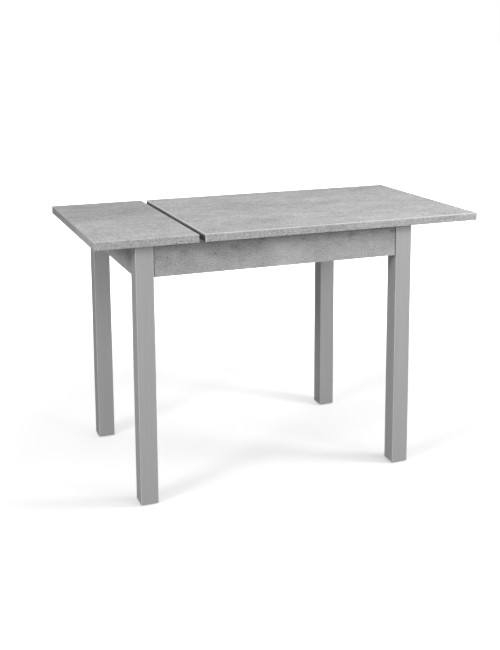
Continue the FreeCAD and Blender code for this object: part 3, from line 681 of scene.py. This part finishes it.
def turned_points(along, radius, turn):
    """Points at a place along each bolt and a radius from it, for all bolts at once: start + ahead * along
    + radius (across cos turn + up sin turn), in metres."""
    along, radius, turn = (values[..., None] for values in np.broadcast_arrays(along, radius, turn))
    start, ahead, across = (vectors[:, None, None] for vectors in bolt_axes())
    angle = 2 * math.pi * turn
    ring = across * np.cos(angle) + np.array((0, 0, 1)) * np.sin(angle)
    return start + MM * (ahead * along + radius * ring)


def grid_faces(rows, columns, copies, closed):
    """Quads between neighbours of several grids, one after another. Columns go round, and closed rows do."""
    row, column = np.mgrid[:rows if closed else rows - 1, :columns]
    above, beside = (row + 1) % rows, (column + 1) % columns
    quads = np.stack([row * columns + column, row * columns + beside,
                      above * columns + beside, above * columns + column], -1).reshape(-1, 4)
    return (quads + np.arange(copies)[:, None, None] * rows * columns).reshape(-1, 4)


def hardware_piece(name, points, faces, smooth, stands_for):
    """A zinc-plated piece of the frame that takes the place of a solid."""
    mesh = bpy.data.meshes.new(name)
    mesh.from_pydata(points.reshape(-1, 3).tolist(), [], faces)
    mesh.polygons.foreach_set("use_smooth", np.full(len(faces), smooth))
    mesh.materials.append(SLOT_FINISH["zinc_steel"])
    piece = bpy.data.objects.new(name, mesh)
    bpy.context.scene.collection.objects.link(piece)
    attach(piece, "frame")
    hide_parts(stands_for)
    print(name, "has", len(faces), "faces")
    return piece


print("bolts leave their legs at", np.round(bolt_axes()[0], 4).tolist())

# %% [markdown]
# ## Threaded hanger bolts
# A hanger bolt has two threads: a coarse one that bites into the leg, and a fine one that stands out of it
# for the nut that draws the corner plate tight. A thread could be swept along a helix, but there is a shorter
# way. The radius follows a zigzag of the place along the bolt minus the share of a turn. So a crest climbs by
# one pitch per turn, and the helix comes by itself.

# %% Hanger bolts
BOLT_RADIUS = 4.0                                       # mm
BOLT_IN, BOLT_OUT = -40.0, 28.0                         # mm along the bolt, from the corner of the leg
COLLAR = 2.0                                            # mm on both sides of that corner with no thread
WOOD_PITCH, WOOD_DEPTH, WOOD_ROWS = 3.5, 1.2, 90        # mm, mm, and rows of the grid
NUT_PITCH, NUT_DEPTH, NUT_ROWS = 1.25, 0.77, 170
POINT_LENGTH, POINT_SHARE = 12, 0.2                     # mm of the point, and share of the radius at its end
TIP_LENGTH, TIP_SHARE = 1.5, 0.75                       # the same for the chamfer at the other end
BOLT_COLUMNS = 24


def hanger_bolts():
    """Radius: the bolt's, less the thread's depth times a zigzag of along / pitch - turn, and less at the
    tips. The first and the last row of each bolt lie flat, and one face closes each of them."""
    along = np.concatenate([np.linspace(BOLT_IN, -COLLAR, WOOD_ROWS),
                            np.linspace(COLLAR, BOLT_OUT, NUT_ROWS)])[:, None]
    turn = np.linspace(0, 1, BOLT_COLUMNS, endpoint=False)[None, :]
    pitch = np.where(along < 0, WOOD_PITCH, NUT_PITCH)
    depth = np.where(along < 0, WOOD_DEPTH, NUT_DEPTH)
    zigzag = np.abs(2 * ((along / pitch - turn) % 1) - 1)
    tip = np.interp(along, [BOLT_IN, BOLT_IN + POINT_LENGTH, BOLT_OUT - TIP_LENGTH, BOLT_OUT],
                    [POINT_SHARE, 1.0, 1.0, TIP_SHARE])
    points = turned_points(along, (BOLT_RADIUS - depth * zigzag) * tip, turn)
    sides = grid_faces(len(along), BOLT_COLUMNS, len(LEG_NAMES), closed=False)
    numbers = np.arange(points.size // 3).reshape(len(LEG_NAMES), len(along), BOLT_COLUMNS)
    ends = np.concatenate([numbers[:, 0, ::-1], numbers[:, -1]])
    faces = sides.tolist() + ends.tolist()
    return hardware_piece("threaded_hanger_bolts", points, faces, True, "hanger_bolts")


hanger_bolts()

# %% [markdown]
# ## Chamfered nuts
# A nut is a hexagon whose corners are turned off at both faces, which leaves the round shoulders that catch
# the light. The flat sides and the shoulders could be cut one by one. Here the radius is simply the smaller
# of two: that of the hexagon at this angle, and that of a cone that widens from each face.

# %% Nuts
NUT_LOW, NUT_HIGH = 17.6, 24.1                          # mm along the bolt
NUT_CORNER, NUT_HOLE, HOLE_FLARE = 7.5, 4.1, 0.5        # mm from the axis, and by which the hole opens
SHOULDER = 0.97                                         # share of half the width over flats, at a face
SHOULDER_STEPS = np.linspace(0, 0.8, 6)                 # mm from a face
NUT_COLUMNS = 96


def bolt_nuts():
    """Radius: the least of apothem / cos(angle from the middle of a side) and a cone of slope root 3 from
    each face. Inside is the hole, flared at both ends, and the rows go round from the outside through it."""
    height = NUT_HIGH - NUT_LOW
    apothem = NUT_CORNER * math.cos(math.pi / 6)
    turn = np.linspace(0, 1, NUT_COLUMNS, endpoint=False)[None, :]
    hexagon = apothem / np.cos(((6 * turn) % 1 - 0.5) * math.pi / 3)
    outside = np.concatenate([SHOULDER_STEPS, height - SHOULDER_STEPS[::-1]])[:, None]
    cone = apothem * SHOULDER + math.sqrt(3) * np.minimum(outside, height - outside)
    hole_along = np.array([height, height - HOLE_FLARE, HOLE_FLARE, 0.0])[:, None]
    hole_radius = NUT_HOLE + np.array([HOLE_FLARE, 0.0, 0.0, HOLE_FLARE])[:, None]
    along = np.concatenate([outside, hole_along]) + NUT_LOW
    radius = np.concatenate([np.minimum(hexagon, cone), np.repeat(hole_radius, NUT_COLUMNS, axis=1)])
    points = turned_points(along, radius, turn)
    faces = grid_faces(len(along), NUT_COLUMNS, len(LEG_NAMES), closed=True).tolist()
    return hardware_piece("chamfered_bolt_nuts", points, faces, False, "bolt_nuts")


bolt_nuts()
